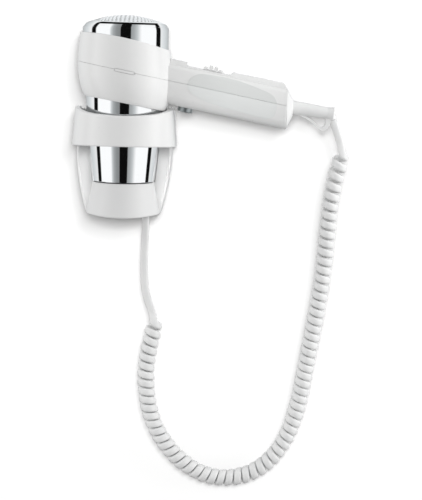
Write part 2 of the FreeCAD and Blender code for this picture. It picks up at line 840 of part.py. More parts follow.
# machined spring: flat rings joined by short posts on alternate sides
spring_bits = []
for i in range(5):
    h = -16.93 + 1.94 * i
    spring_bits.append(cylinder("spring_ring%d" % i, 3.93, 0.8, at_handle(button_u, 0, h), tilt))
    if i < 4:
        side = 3.47 if i % 2 else -3.47
        spring_bits.append(cylinder("spring_post%d" % i, 0.42, 2.2, at_handle(button_u + side, 0, h + 0.3), tilt))
spring_bore = cylinder("spring_bore", 3.0, 12, at_handle(button_u, 0, -18), tilt)
button_spring = cut("button_spring", fuse("spring_solid", spring_bits), spring_bore)

# ---------------------------------------------------------------- end of the handle
end_mid = seam_z - (droop_sin * handle_end_x) / droop_cos
end_cap = body("end_cap_body", (0, axis_y, 0))
sk_a = outline(
    sketch(end_cap, "YZ_Plane", "cap_big", handle_end_x + 0.2),
    rounded_box(-15.9, value(end_mid) - 20.9, 15.9, value(end_mid) + 15.6, 9.8, 5.0),
)
sk_b = outline(
    sketch(end_cap, "YZ_Plane", "cap_small", handle_end_x + 6.2),
    rounded_box(-7.3, 49.2, 7.3, 64.0, 7.0, 6.6),
)
cap_loft = end_cap.newObject("PartDesign::AdditiveLoft", "cap_loft")
cap_loft.Profile = sk_a
cap_loft.Sections = [sk_b]

# Cord sleeve moulded onto the cord, with a flared mouth turned down and a hanging loop.
sleeve_a, sleeve_b = Vector(145.6, 0, 57.65), Vector(186.0, 0, 52.2)
sleeve_dir = sleeve_b - sleeve_a
sleeve_rot = Rotation(Vector(0, 0, 1), sleeve_dir)
sleeve = cone("sleeve_cone", 7.0, 5.35, sleeve_dir.Length, (sleeve_a.x, axis_y, sleeve_a.z), sleeve_rot)
unit = Vector(sleeve_dir).normalize()
flange = cylinder("sleeve_flange", 9.0, 2.0, (144.4, axis_y, 57.8), sleeve_rot)
bell = cone("sleeve_bell", 5.35, 6.3, 5.6, (sleeve_b.x, axis_y, sleeve_b.z), sleeve_rot)
mouth_p, mouth_q = Vector(187.92, 0, 53.03), Vector(191.0, 0, 46.2)
mouth = cone(
    "sleeve_mouth", 4.2, 3.35, (mouth_q - mouth_p).Length, (mouth_p.x, axis_y, mouth_p.z), Rotation(Vector(0, 0, 1), mouth_q - mouth_p)
)
loop = body("loop_body", (0, axis_y + 2.6, 0))
loop_out = [
    (155.5, 51.4),
    (161.0, 49.2),
    (165.5, 47.2),
    (171.3, 43.5),
    (176.4, 39.5),
    (179.5, 36.9),
    (182.6, 35.8),
    (186.0, 37.6),
    (188.4, 41.6),
    (190.4, 46.3),
]
loop_in = [
    (184.9, 48.5),
    (184.7, 44.6),
    (183.9, 41.4),
    (182.1, 39.0),
    (179.6, 39.5),
    (175.0, 43.3),
    (168.6, 47.5),
    (161.6, 50.8),
]
loop_sk = sketch(loop, "XZ_Plane", "loop_outline")
curve_o, curve_i = Part.BSplineCurve(), Part.BSplineCurve()
curve_o.interpolate([Vector(x, z, 0) for x, z in loop_out])
curve_i.interpolate([Vector(x, z, 0) for x, z in loop_in])
for geometry in (
    curve_o,
    Part.LineSegment(Vector(190.4, 46.3, 0), Vector(184.9, 48.5, 0)),
    curve_i,
    Part.LineSegment(Vector(161.6, 50.8, 0), Vector(155.5, 51.4, 0)),
):
    g = loop_sk.addGeometry(geometry, False)
    loop_sk.addConstraint(Sketcher.Constraint("Block", g))
pad(loop, loop_sk, 5.2, "loop_pad")
sleeve_solid = fuse("sleeve_solid", [sleeve, flange, bell, mouth, loop])
cord_room = cylinder("cord_room", value(cord_d) / 2 + 0.12, 14, (191.11, axis_y, 45.957), Rotation(Vector(0, 0, 1), Vector(4.98, -0.2, -13.73)))
strain_relief = cut("strain_relief", sleeve_solid, cord_room)
handle_end_cap = cut("handle_end_cap", end_cap, sleeve)

tail_box = box("handle_tail", (11.2, cord_d, cord_t), at_handle(132.5, cord_d / -2, cord_t / -2), tilt)
tail_trim = cut("tail_trim", tail_box, flange)
clamp_bar = box("clamp_bar", (6, 18, 2.4), at_handle(134, -9, cord_t / 2), tilt)
clamp_screws_list = []
bar_holes = []
for i, y in ((0, -6.6), (1, 6.6)):
    bar_holes.append(cylinder("bar_hole%d" % i, 1.15, 6, at_handle(137, y, 0), tilt))
    clamp_screws_list.append(
        fuse(
            "clamp_screw%d" % i,
            [
                cylinder("clamp_head%d" % i, 2.0, 1.5, at_handle(137, y, cord_t / 2 + 2.4), tilt),
                cylinder("clamp_shank%d" % i, 1.1, 13, at_handle(137, y, cord_t / 2 + 2.4 - 13), tilt),
            ],
        )
    )
handle_cord_clamp = cut("handle_cord_clamp", clamp_bar, fuse("bar_holes", bar_holes))
clamp_screws = group("clamp_screws", clamp_screws_list)


def handle_vec(u, y, w):
    p = at_handle(u, y, w)
    return tuple(value(q) for q in p)


lead_shapes = []
for sgn in (-1, 1):
    lead, _, _ = tube(
        [handle_vec(95.0, sgn * 5.6, 3.0), handle_vec(101, sgn * 7.4, 2.6), handle_vec(124, sgn * 7.2, 1.0), handle_vec(131.7, sgn * 2.0, 0)],
        1.05,
    )
    lead_shapes.append(lead)
supply_leads = feature("supply_leads", Part.makeCompound(lead_shapes))

# ---------------------------------------------------------------- fan and motor
duct = turned(
    "duct_ring",
    [
        (35.2, nozzle_top + 0.6),
        (37.4, nozzle_top + 0.6),
        (37.4, cap_low - 0.3),
        (35.2, cap_low - 0.3),
    ],
)
mount_sleeve = turned(
    "mount_sleeve",
    [(motor_r + 0.05, 66), (motor_r + 1.6, 66), (motor_r + 1.6, 84), (motor_r + 0.05, 84)],
)
vanes = []
for i in range(7):
    a = 360.0 * i / 7 + 12
    ca, sa = math.cos(math.radians(a)), math.sin(math.radians(a))
    vanes.append(
        box(
            "vane%d" % i,
            (21.9, 1.2, 10),
            (14.0 * ca + 0.6 * sa, axis_y + 14.0 * sa - 0.6 * ca, 73),
            Rotation(Vector(0, 0, 1), a),
        )
    )
motor_mount = fuse("motor_mount", [duct, mount_sleeve] + vanes)

fan = body("fan", (0, axis_y, 0))
pad(fan, circle(sketch(fan, "XY_Plane", "hub", 88), 11.0), 11, "hub_pad")
blade_sk = outline(
    sketch(fan, "YZ_Plane", "blade", 8.0),
    [(-5.2, 89.0), (-4.2, 88.6), (5.2, 97.4), (4.2, 97.8)],
)
blade = pad(fan, blade_sk, fan_r - 8.0, "blade_pad")
bore_sk = circle(sketch(fan, "XY_Plane", "fan_bore", 80), shaft_r)
doc.recompute()
ring_of = fan.newObject("PartDesign::PolarPattern", "blades")
ring_of.Originals = [blade]
ring_of.Axis = (bore_sk, ["N_Axis"])
ring_of.Angle = 360
ring_of.Occurrences = 9
fan.Tip = ring_of
doc.recompute()
fan_hole = fan.newObject("PartDesign::Pocket", "fan_hole")
fan_hole.Profile = bore_sk
fan_hole.Length = 16
fan_hole.Reversed = True
fan.Tip = fan_hole

motor_shaft = cylinder("motor_shaft", shaft_r, 37.5, (0, axis_y, 58.5))
motor_can = turned(
    "motor_can",
    [
        (2.6, 84),
        (motor_r, 84),
        (motor_r, 60),
        (motor_r - 1, 60),
        (motor_r - 1, 82.6),
        (2.6, 82.6),
    ],
)
magnet_ring = turned("magnet_ring", [(10.6, 67), (motor_r - 1.05, 67), (motor_r - 1.05, 81), (10.6, 81)])
magnet_gap = box("magnet_gap", (30, 6, 20), (-15, axis_y - 3, 65))
motor_magnets = cut("motor_magnets", magnet_ring, magnet_gap)
motor_armature = turned("motor_armature", [(shaft_r, 68), (10.1, 68), (10.1, 80), (shaft_r, 80)])
motor_commutator = turned("motor_commutator", [(shaft_r, 62.9), (4.0, 62.9), (4.0, 67.2), (shaft_r, 67.2)])
motor_brushes = group(
    "motor_brushes",
    [
        box("brush_a", (5, 3, 2.6), (4.15, axis_y - 1.5, 63.4)),
        box("brush_b", (5, 3, 2.6), (-9.15, axis_y - 1.5, 63.4)),
    ],
)
motor_end_bell = turned("motor_end_bell", [(2.6, 60.2), (motor_r - 1.05, 60.2), (motor_r - 1.05, 62.2), (2.6, 62.2)])
bearing_bore = shaft_r + 0.05
motor_bearings = group(
    "motor_bearings",
    [
        turned("bearing_low", [(bearing_bore, 60.0), (2.6, 60.0), (2.6, 62.4), (bearing_bore, 62.4)]),
        turned("bearing_high", [(bearing_bore, 82.2), (2.6, 82.2), (2.6, 84.6), (bearing_bore, 84.6)]),
    ],
)
board_disc = turned("board_disc", [(2.2, 56.4), (12.0, 56.4), (12.0, 58.0), (2.2, 58.0)])
diodes = [
    box("diode%d" % i, (5.0, 2.6, 2.4), (x - 2.5, axis_y + y - 1.3, 54.2))
    for i, (x, y) in enumerate(((-5.5, -4.5), (5.5, -4.5), (-5.5, 4.5), (5.5, 4.5)))
]
rectifier_board = fuse("rectifier_board", [board_disc] + diodes)

# ---------------------------------------------------------------- heater
plate_x = box("mica_x", (48.6, 0.8, 48), (-24.3, axis_y - 0.4, 4))
plate_y = box("mica_y", (0.8, 48.6, 48), (-0.4, axis_y - 24.3, 4))
coils, notches = [], []
for i in range(8):
    z = 9.0 + 5.4 * i
    coils.append(torus("coil%d" % i, coil_major, coil_minor, (0, axis_y, z)))
    notches.append(torus("notch%d" % i, coil_major, coil_minor + 0.1, (0, axis_y, z)))
heater_frame = cut("heater_frame", fuse("mica_cross", [plate_x, plate_y]), group("coil_notches", notches))
heater_coils = group("heater_coils", coils)
heater_tube = turned(
    "heater_tube",
    [
        (25.4, 2.0),
        (25.9, 2.0),
        (25.9, 52.2),
        (33.2, 52.2),
        (33.2, 53.4),
        (25.4, 53.4),
    ],
)
thermal_cutout = box("thermal_cutout", (8, 3.4, 5), (6, axis_y + 0.6, 5))
thermal_fuse = cylinder("thermal_fuse", 1.6, 10, (-9, axis_y + 2.4, 14))
rings = [turned("grille_rim", [(24.6, -10.9), (27.51, -10.9), (27.82, -7.9), (24.6, -7.9)])]
for i, r in enumerate((5.5, 11.5, 17.5)):
    rings.append(turned("grille_ring%d" % i, [(r, -10.7), (r + 1.1, -10.7), (r + 1.1, -8.7), (r, -8.7)]))
for i in range(4):
    a = 45.0 * i + 22.5
    ca, sa = math.cos(math.radians(a)), math.sin(math.radians(a))
    rings.append(
        box("grille_spoke%d" % i, (50.4, 1.1, 1.8), (-25.2 * ca + 0.55 * sa, axis_y - 25.2 * sa - 0.55 * ca, -10.6), Rotation(Vector(0, 0, 1), a))
    )
outlet_grille = fuse("outlet_grille", rings)

# ================================================================ HOLDER
# Outline of the holder's back shell: a leaning line, then tangent arcs down the side,
# round the corner and along the foot. Each arc is (centre x, centre z, radius).
side_join, side_bow, corner, foot_bow = (-16.12, 9.21, 60.0), (-198.1, 22.95, 242.5), (29.16, -42.51, 6.0), (0.0, 77.68, 129.68)


def toward(a, b, inset, start=None):
    """Point of arc b in the direction from arc a's centre to arc b's centre, moved in."""
    d = Vector(b[0] - a[0], b[1] - a[1], 0).normalize()
    if a[2] < b[2]:
        d = -d
    big = a if a[2] > b[2] else b
    return Vector(big[0], big[1], 0) + d * (big[2] - inset)


def between(arc, p, q, inset):
    m = (p + q) * 0.5 - Vector(arc[0], arc[1], 0)
    v = Vector(arc[0], arc[1], 0) + m.normalize() * (arc[2] - inset)
    return (v.x, v.y)


def plate_outline(t):
    n = Vector(0.9952, 0.0981, 0)
    a = Vector(side_join[0], side_join[1], 0) + n * (side_join[2] - t)
    rise = 49.0 - t - a.y
    top = (a.x - rise * 0.0981 / 0.9952, 49.0 - t)
    b = toward(side_join, side_bow, t)
    c = toward(side_bow, corner, t)
    d = toward(corner, foot_bow, t)
    ab, bc, cd = between(side_join, a, b, t), between(side_bow, b, c, t), between(corner, c, d, t)
    return [
        (-top[0], top[1]),
        (-a.x, a.y),
        (-b.x, b.y, (-ab[0], ab[1])),
        (-c.x, c.y, (-bc[0], bc[1])),
        (-d.x, d.y, (-cd[0], cd[1])),
        (d.x, d.y, (0, foot_bow[1] - foot_bow[2] + t)),
        (c.x, c.y, cd),
        (b.x, b.y, bc),
        (a.x, a.y, ab),
        top,
    ]


FOOT_RISE = 5.4  # the shell's sides rise by this many degrees towards the front
foot_slope = math.tan(math.radians(FOOT_RISE))


def plate_body(name, t, y_back, depth):
    """The outline carried straight towards the front and a little up; at Y = -22 it is at its own height."""
    b = body(name, (0, y_back, -(y_back + 22) * foot_slope), Rotation(Vector(1, 0, 0), -FOOT_RISE))
    sk = outline(sketch(b, "XZ_Plane", name + "_outline"), plate_outline(t))
    pad(b, sk, depth, name + "_pad")
    return b


plate_full = plate_body("plate_full", 0.0, 6, plate_depth + 6)
doc.recompute()
front_edges = []
plate_pad = plate_full.Tip
for i, e in enumerate(plate_pad.Shape.Edges):
    if all(abs(v.Point.y + value(plate_depth) + 6) < 1e-6 for v in e.Vertexes) and len(e.Vertexes) == 2:
        if not (abs(e.Vertexes[0].Point.z - 49) < 1e-6 and abs(e.Vertexes[1].Point.z - 49) < 1e-6):
            front_edges.append("Edge%d" % (i + 1))
rim = plate_full.newObject("PartDesign::Fillet", "plate_rim")
rim.Base = (plate_pad, front_edges)
rim.Radius = 2.6

behind_wall = box("behind_wall", (140, 30, 160), (-70, 0, -80))
plate_out = cut("plate_out", plate_full, behind_wall)
plate_in = plate_body("plate_in", 2.4, 6, plate_depth - shell_wall + 6)

def half_round(name, low, high, back):
    """Half cone towards the room with straight tapered sides back towards the wall. low and high are (Z, radius)."""
    round_part = common(
        name + "_round",
        cone(name + "_cone", low[1], high[1], high[0] - low[0], (0, axis_y, low[0])),
        box(name + "_front", (120, 60, 160), (-60, axis_y - 60, -80)),
    )
    sides = body(name + "_sides", (0, axis_y + back, 0))
    pad(
        sides,
        outline(sketch(sides, "XZ_Plane", name + "_taper"), [(-low[1], low[0]), (low[1], low[0]), (high[1], high[0]), (-high[1], high[0])]),
        back,
        name + "_sides_pad",
    )
    return fuse(name, [round_part, sides])


pedestal = half_round("pedestal", (-52, pedestal_r_low), (pedestal_top, pedestal_r_top), 45)
ped_hollow = half_round("ped_hollow", (-52, pedestal_r_low - 2.45), (pedestal_top - 2.4, pedestal_r_top - 1.95), 45)
plate_prism = plate_body("plate_prism", 0.0, 6, 110)
hollow_prism = plate_body("hollow_prism", 2.4, 6, 110)
cradle = cone("cradle", 29.56, 38.0, 75.2, (0, axis_y, -15.2))
cradle_wall = cone("cradle_wall", 31.68, 40.2, 83.3, (0, axis_y, -17.6))

back_trim = box("back_trim", (90, 80, 60), (-45, 1.5 - plate_depth, -60))
pedestal_raw = cut("pedestal_raw", common("pedestal_side", pedestal, plate_prism), back_trim)


def foot_edge(m, ends, e):
    return m.z < -43 and m.y < -49 and e.Length > 4


pedestal_a = soften("pedestal_a", pedestal_raw, [(foot_edge, 1.4)])
ped_back = box("ped_back", (80, 80, 60), (-40, shell_wall - plate_depth, -60))
ped_cavity = cut("ped_cavity", common("ped_room", ped_hollow, hollow_prism), ped_back)
plate_cavity = cut("plate_cavity", plate_in, cradle_wall)
cavity = fuse("holder_cavity", [plate_cavity, ped_cavity])

exit_x, exit_y = 20.0, -12.0
exit_hole = cylinder("exit_hole", 5.1, 10, (exit_x, exit_y, -55))
screw_boss = cylinder("shell_boss", 4.6, 6.0, (-12, -8, -51.2))
boss_bore = cylinder("boss_bore", 3.3, 4.0, (-12, -8, -52.8))
boss_hole = cylinder("boss_hole", 1.75, 12, (-12, -8, -54))
holder_solid = fuse("holder_solid", [plate_out, pedestal_a])
holder_open = cut("holder_open", holder_solid, fuse("holder_voids", [cavity, cradle, exit_hole]))
boss_trim = common("boss_trim", screw_boss, plate_prism)
holder_bossed = cut("holder_bossed", fuse("holder_boss", [holder_open, boss_trim]), fuse("boss_bores", [boss_bore, boss_hole]))
casing_room = cylinder("casing_room", 44.2, 8, (0, axis_y, 50.45))
holder_raw = cut("holder_raw", holder_bossed, casing_room)


def lip_edge(m, ends, e):
    return abs(m.z - value(pedestal_top)) < 0.02 and m.y < -60 and abs(ends[0].z - ends[-1].z) < 0.02 and e.Length > 8


holder_shell = soften("holder_shell", holder_raw, [(lip_edge, 0.7)])

nozzle_rest_pad = turned(
    "nozzle_rest_pad",
    [
        (21.0, -15.15),
        (27.6, -15.15),
        (27.6, -14.45),
        (26.35, -14.45),
        (25.8, -11.7),
        (24.2, -11.7),
        (23.5, -14.1),
        (21.0, -14.1),
    ],
)


collar_out = half_round("collar_out", (10, collar_r_low), (62, collar_r_high), 50)
collar_in = half_round("collar_in", (5, 45.0), (65, 39.0), 60)
collar_top = box("collar_top", (120, 120, 40), (-60, axis_y - 60, 53.3 - 60 * 0.136), Rotation(Vector(1, 0, 0), 7.75))
collar_foot = box("collar_foot", (120, 120, 40), (-60, axis_y - 62, 17.4 + 62 * 0.051 - 40), Rotation(Vector(1, 0, 0), -2.92))
collar_back = box("collar_back", (120, 40, 80), (-60, -2, 0))
collar_fall = box("collar_fall", (120, 100, 40), (-60, axis_y - 16.859, 56.0817), Rotation(Vector(1, 0, 0), -6.8))
ring_blank = cut("ring_wall", collar_out, collar_in)
for i, trim in enumerate((collar_top, collar_foot, collar_back, collar_fall)):
    ring_blank = cut("ring_trim%d" % i, ring_blank, trim)


def rim_edge(high, outside):
    def test(m, ends, e):
        if abs(m.y + 2) < 0.01 or abs(ends[0].z - ends[-1].z) > 15:
            return False
        if (m.z > 35) != high:
            return False
        if m.y < -90:
            return (m.y < -96.5) == outside
        return (abs(m.x) > 44.4 - (0 if high else -0.6)) == outside

    return test


ring_collar = soften(
    "ring_collar",
    ring_blank,
    [(rim_edge(True, True), 1.5), (rim_edge(True, False), 0.9), (rim_edge(False, True), 1.1), (rim_edge(False, False), 0.8)],
)

bracket_plate = box("bracket_plate", (54, 2.5, 76), (-27, -2.5, -40))
bracket_tab = box("bracket_tab", (14, 13, 2), (-19, -14, -45.1))
bracket_web = box("bracket_web", (14, 2.5, 8), (-19, -2.5, -45.1))
clamp_pillar = box("clamp_pillar", (14, 7.4, 6), (exit_x - 7, -9.9, -39))
bracket_holes = []
for i, (sx, sz) in enumerate(((-1, -1), (1, -1), (-1, 1), (1, 1))):
    bracket_holes.append(
        cylinder("wall_hole%d" % i, wall_hole_r, 8, (wall_hole_x * (sx / 2.0), -5, wall_hole_z * (sz / 2.0)), ALONG_Y)
    )
bracket_holes.append(cylinder("wire_entry", 6.0, 8, (0, -5, 14), ALONG_Y))
bracket_holes.append(cylinder("tab_hole", 1.6, 8, (-12, -8, -48)))
for i, dx in ((0, -5.4), (1, 5.4)):
    bracket_holes.append(cylinder("pillar_hole%d" % i, 1.05, 8, (exit_x + dx, -12, -36), ALONG_Y))
wall_bracket = cut(
    "wall_bracket", fuse("bracket_solid", [bracket_plate, bracket_tab, bracket_web, clamp_pillar]), fuse("bracket_holes", bracket_holes)
)

term_box = box("term_box", (26, 8, 10), (-13, -10.5, -12))
term_caps, term_bores = [], []
for i, x in enumerate((-8.0, 0.0, 8.0)):
    term_caps.append(cylinder("term_screw%d" % i, 1.9, 3.0, (x, -11.4, -7), ALONG_Y))
    term_bores.append(cylinder("term_bore%d" % i, 2.0, 4.0, (x, -12.0, -7), ALONG_Y))
terminal_block = cut("terminal_block", term_box, fuse("term_bores", term_bores))
terminal_screws = group("terminal_screws", term_caps)

cord_tail = box("cord_tail", (cord_d, cord_t, 21), (exit_x - cord_d / 2, exit_y - cord_t / 2, -51))
gland_ring = cylinder("gland_ring", 5.0, 5.4, (exit_x, exit_y, -51))
gland_lip = cylinder("gland_lip", 6.4, 1.2, (exit_x, exit_y, -46.8))
cord_gland = cut("cord_gland", fuse("gland_solid", [gland_ring, gland_lip]), cord_tail)
clamp_strip = box("clamp_strip", (14, 2.2, 6), (exit_x - 7, exit_y - cord_t / 2 - 2.2, -39))
strip_holes, strip_screws = [], []
for i, dx in ((0, -5.4), (1, 5.4)):
    strip_holes.append(cylinder("strip_hole%d" % i, 1.05, 8, (exit_x + dx, -18, -36), ALONG_Y))
    strip_screws.append(
        fuse(
            "strip_screw%d" % i,
            [
                cylinder("strip_head%d" % i, 1.9, 1.3, (exit_x + dx, -17.6, -36), ALONG_Y),
                cylinder("strip_shank%d" % i, 1.0, 10, (exit_x + dx, -16.3, -36), ALONG_Y),
            ],
        )
    )
holder_cord_clamp = cut("holder_cord_clamp", clamp_strip, fuse("strip_holes", strip_holes))
fix_head = cylinder("fix_head", 3.0, 1.8, (-12, -8, -50.7))
fix_shank = cylinder("fix_shank", 1.5, 8.8, (-12, -8, -48.9))
holder_screws = group("holder_screws", strip_screws + [fuse("fixing_screw", [fix_head, fix_shank])])

# ================================================================ CORD
lower_route = [(20.0, -12.0, -51.2), (19.7, -12.2, -73.0), (19.0, -13.0, -97.0), (22.0, -14.2, -126.0), (31.6, -17.6, -156.6)]
coil_route = [
    (28.9, -16.0, -157.0),
    (24.6, -15.2, -179.0),
    (22.4, -15.0, -209.0),
    (29.0, -15.0, -246.5),
    (48.8, -15.0, -277.5),
    (77.0, -15.2, -298.0),
    (108.0, -15.8, -301.5),
    (136.5, -17.2, -289.5),
    (157.5, -20.0, -262.5),
    (168.8, -23.2, -226.0),
    (174.0, -27.5, -190.0),
    (181.0, -32.0, -147.0),
    (187.6, -37.5, -100.0),
    (190.0, -43.5, -52.0),
    (193.4, -47.6, -16.0),
    (198.9, -50.5, 6.8),
]
upper_route = [(191.12, -52.0, 45.93), (196.1, -52.2, 32.2), (200.4, -52.6, 19.2), (203.0, -53.0, 7.6)]
cord_nodes = []
for name, route, r in (
    ("cord_lead_lower", lower_route, value(cord_d) / 2),
    ("cord_coil", coil_route, value(helix_d) / 2),
    ("cord_lead_upper", upper_route, value(cord_d) / 2),
):
    solid, radii, length = tube(route, r)
    expected = math.pi * r * r * length
    print("%s: length %.1f, volume %.0f, section x length %.0f, radii %s" % (
        name, length, solid.Volume, expected, ", ".join("%.0f" % q for q in radii)))
    if abs(solid.Volume - expected) > 0.02 * expected:
        raise RuntimeError("the volume of %s is off" % name)
    cord_nodes.append(feature(name, solid))

# ================================================================ check and write
nodes = {
    "rear_grille": rear_grille,
    "rear_cap": rear_cap,
    "intake_filter": intake_filter,
    "nozzle": nozzle,
    "casing_upper": casing_upper,
    "casing_lower": casing_lower,
    "grip_pads_upper": grip_pads_upper,
    "grip_pads_lower": grip_pads_lower,
    "seam_latch": seam_latch,
    "switch_panel": switch_panel,
    "slide_knob": slide_knob,
    "switch_body": switch_body,
    "push_button": button,
    "micro_switch": micro_switch,
    "button_spring": button_spring,
    "casing_screws": casing_screws,
    "handle_end_cap": handle_end_cap,
    "strain_relief": strain_relief,
    "handle_cord_tail": tail_trim,
    "handle_cord_clamp": handle_cord_clamp,
    "clamp_screws": clamp_screws,
    "supply_leads": supply_leads,
    "motor_mount": motor_mount,
    "fan": fan,
    "motor_shaft": motor_shaft,
    "motor_can": motor_can,
    "motor_magnets": motor_magnets,
    "motor_armature": motor_armature,
    "motor_commutator": motor_commutator,
    "motor_brushes": motor_brushes,
    "motor_end_bell": motor_end_bell,
    "motor_bearings": motor_bearings,
    "rectifier_board": rectifier_board,
    "heater_frame": heater_frame,
    "heater_coils": heater_coils,
    "heater_tube": heater_tube,
    "thermal_cutout": thermal_cutout,
    "thermal_fuse": thermal_fuse,
    "outlet_grille": outlet_grille,
    "holder_shell": holder_shell,
    "nozzle_rest_pad": nozzle_rest_pad,
    "ring_collar": ring_collar,
    "wall_bracket": wall_bracket,
    "terminal_block": terminal_block,
    "terminal_screws": terminal_screws,
    "cord_tail": cord_tail,
    "cord_gland": cord_gland,
    "holder_cord_clamp": holder_cord_clamp,
    "holder_screws": holder_screws,
    "cord_lead_lower": cord_nodes[0],
    "cord_coil": cord_nodes[1],
    "cord_lead_upper": cord_nodes[2],
}
taken = {}
for label, obj in nodes.items():
    for other in doc.Objects:
        if other is not obj and other.Label == label:
            other.Label = label + "_part"
    obj.Label = label
    taken[label] = obj

doc.recompute()
bad = []
for o in doc.Objects:
    if "Invalid" in o.State or "Error" in o.State:
        bad.append("%s (%s): %s" % (o.Name, o.TypeId, o.State))
for label, obj in nodes.items():
    shape = obj.Shape
    if shape.isNull():
        bad.append(label + ": null shape")
    elif not shape.isValid():
        bad.append(label + ": invalid shape")
    elif not shape.Solids:
        bad.append(label + ": no solid")
if bad:
    raise RuntimeError("failed objects: " + "; ".join(bad))

os.makedirs("parts", exist_ok=True)
for label, obj in nodes.items():
    obj.Shape.exportStep("parts/%s.step" % label)
    b = obj.Shape.BoundBox
    print("%-20s %2d solid  %9.1f mm3  x %.1f..%.1f  y %.1f..%.1f  z %.1f..%.1f" % (
        label, len(obj.Shape.Solids), obj.Shape.Volume, b.XMin, b.XMax, b.YMin, b.YMax, b.ZMin, b.ZMax))
print("%d nodes" % len(nodes))
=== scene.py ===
"""Looks of the hair dryer in its wall holder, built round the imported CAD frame."""

import json
import math

import bpy
import numpy as np
from mathutils import Matrix, Vector

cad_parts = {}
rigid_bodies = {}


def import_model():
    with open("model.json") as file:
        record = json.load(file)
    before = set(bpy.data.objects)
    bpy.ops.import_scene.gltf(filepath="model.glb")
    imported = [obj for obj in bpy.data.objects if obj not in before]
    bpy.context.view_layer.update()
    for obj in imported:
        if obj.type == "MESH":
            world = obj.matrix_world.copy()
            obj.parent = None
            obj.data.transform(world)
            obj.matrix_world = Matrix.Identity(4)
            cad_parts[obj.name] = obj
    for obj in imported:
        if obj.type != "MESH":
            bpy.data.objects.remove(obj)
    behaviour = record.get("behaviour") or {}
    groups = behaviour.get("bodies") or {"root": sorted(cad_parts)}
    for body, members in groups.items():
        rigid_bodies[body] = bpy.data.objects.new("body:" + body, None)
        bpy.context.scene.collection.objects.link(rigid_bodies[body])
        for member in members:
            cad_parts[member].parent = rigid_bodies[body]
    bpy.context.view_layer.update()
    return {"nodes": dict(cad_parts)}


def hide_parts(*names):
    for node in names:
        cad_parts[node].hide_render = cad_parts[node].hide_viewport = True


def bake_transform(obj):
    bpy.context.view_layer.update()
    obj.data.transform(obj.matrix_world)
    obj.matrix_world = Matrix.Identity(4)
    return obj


for old in list(bpy.data.objects):
    bpy.data.objects.remove(old)

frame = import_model()
nodes = frame["nodes"]
scene = bpy.context.scene


def link(obj):
    scene.collection.objects.link(obj)
    return obj


def mesh_piece(name, verts, faces, smooth=True):
    mesh = bpy.data.meshes.new(name)
    mesh.from_pydata([tuple(v) for v in verts], [], faces)
    mesh.validate()
    for p in mesh.polygons:
        p.use_smooth = smooth
    mesh.update()
    return link(bpy.data.objects.new(name, mesh))


# ---------------------------------------------------------------- camera

TILT = math.radians(7.0)  # looks down by this
ROLL = math.radians(1.35)
ahead = Vector((0, math.cos(TILT), -math.sin(TILT)))
level = Vector((1, 0, 0))
raised = Vector((0, math.sin(TILT), math.cos(TILT)))
right = math.cos(ROLL) * level + math.sin(ROLL) * raised
up = -math.sin(ROLL) * level + math.cos(ROLL) * raised

camera_data = bpy.data.cameras.new("camera")
camera_data.lens = 140.1
camera_data.sensor_width = 36.0
camera_data.clip_start, camera_data.clip_end = 0.05, 60.0
camera = link(bpy.data.objects.new("camera", camera_data))
axes = Matrix((right, up, -ahead)).transposed().to_4x4()
camera.matrix_world = Matrix.Translation((0.0823, -1.8386, 0.1425)) @ axes
scene.camera = camera


# ---------------------------------------------------------------- materials


class Nodes:
    """Short ways to add shader nodes to one tree."""

    def __init__(self, tree):
        self.tree = tree

    def new(self, kind, **values):
        n = self.tree.nodes.new("ShaderNode" + kind)
        for k, v in values.items():
            setattr(n, k, v)
        return n

    def link(self, a, b):
        self.tree.links.new(a, b)

    def put(self, socket, value):
        if isinstance(value, bpy.types.NodeSocket):
            self.link(value, socket)
        else:
            socket.default_value = value

    def math(self, operation, a, b=0.0, clamp=False):
        n = self.new("Math", operation=operation, use_clamp=clamp)
        self.put(n.inputs[0], a)
        self.put(n.inputs[1], b)
        return n.outputs[0]

    def mix(self, factor, a, b):
        n = self.new("Mix", data_type="RGBA")
        self.put(n.inputs[0], factor)
        self.put(n.inputs[6], a)
        self.put(n.inputs[7], b)
        return n.outputs[2]

    def span(self, value, low, high, to_low, to_high):
        n = self.new("MapRange")
        self.put(n.inputs[0], value)
        for i, v in enumerate((low, high, to_low, to_high)):
            self.put(n.inputs[i + 1], v)
        return n.outputs[0]

    def noise(self, where, scale, detail=3.0, rough=0.5):
        n = self.new("TexNoise")
        self.link(where, n.inputs["Vector"])
        n.inputs["Scale"].default_value = scale
        n.inputs["Detail"].default_value = detail
        n.inputs["Roughness"].default_value = rough
        return n.outputs[0]

    def cells(self, where, scale, feature="F1"):
        n = self.new("TexVoronoi", feature=feature)
        self.link(where, n.inputs["Vector"])
        n.inputs["Scale"].default_value = scale
        return n

    def wave(self, where, scale, direction="Z", distortion=0.0):
        n = self.new("TexWave", bands_direction=direction)
        self.link(where, n.inputs["Vector"])
        n.inputs["Scale"].default_value = scale
        n.inputs["Distortion"].default_value = distortion
        return n.outputs[1]

    def ramp(self, value, stops, smooth="LINEAR"):
        n = self.new("ValToRGB")
        n.color_ramp.interpolation = smooth
        e = n.color_ramp.elements
        while len(e) > 1:
            e.remove(e[-1])
        for i, (at, v) in enumerate(stops):
            s = e[0] if i == 0 else e.new(at)
            s.position = at
            s.color = (v, v, v, 1) if not isinstance(v, tuple) else (*v, 1)
        self.link(value, n.inputs[0])
        return n.outputs[0]

    def bump(self, height, strength, distance, normal=None):
        n = self.new("Bump")
        self.link(height, n.inputs["Height"])
        n.inputs["Strength"].default_value = strength
        n.inputs["Distance"].default_value = distance
        if normal is not None:
            self.link(normal, n.inputs["Normal"])
        return n.outputs[0]


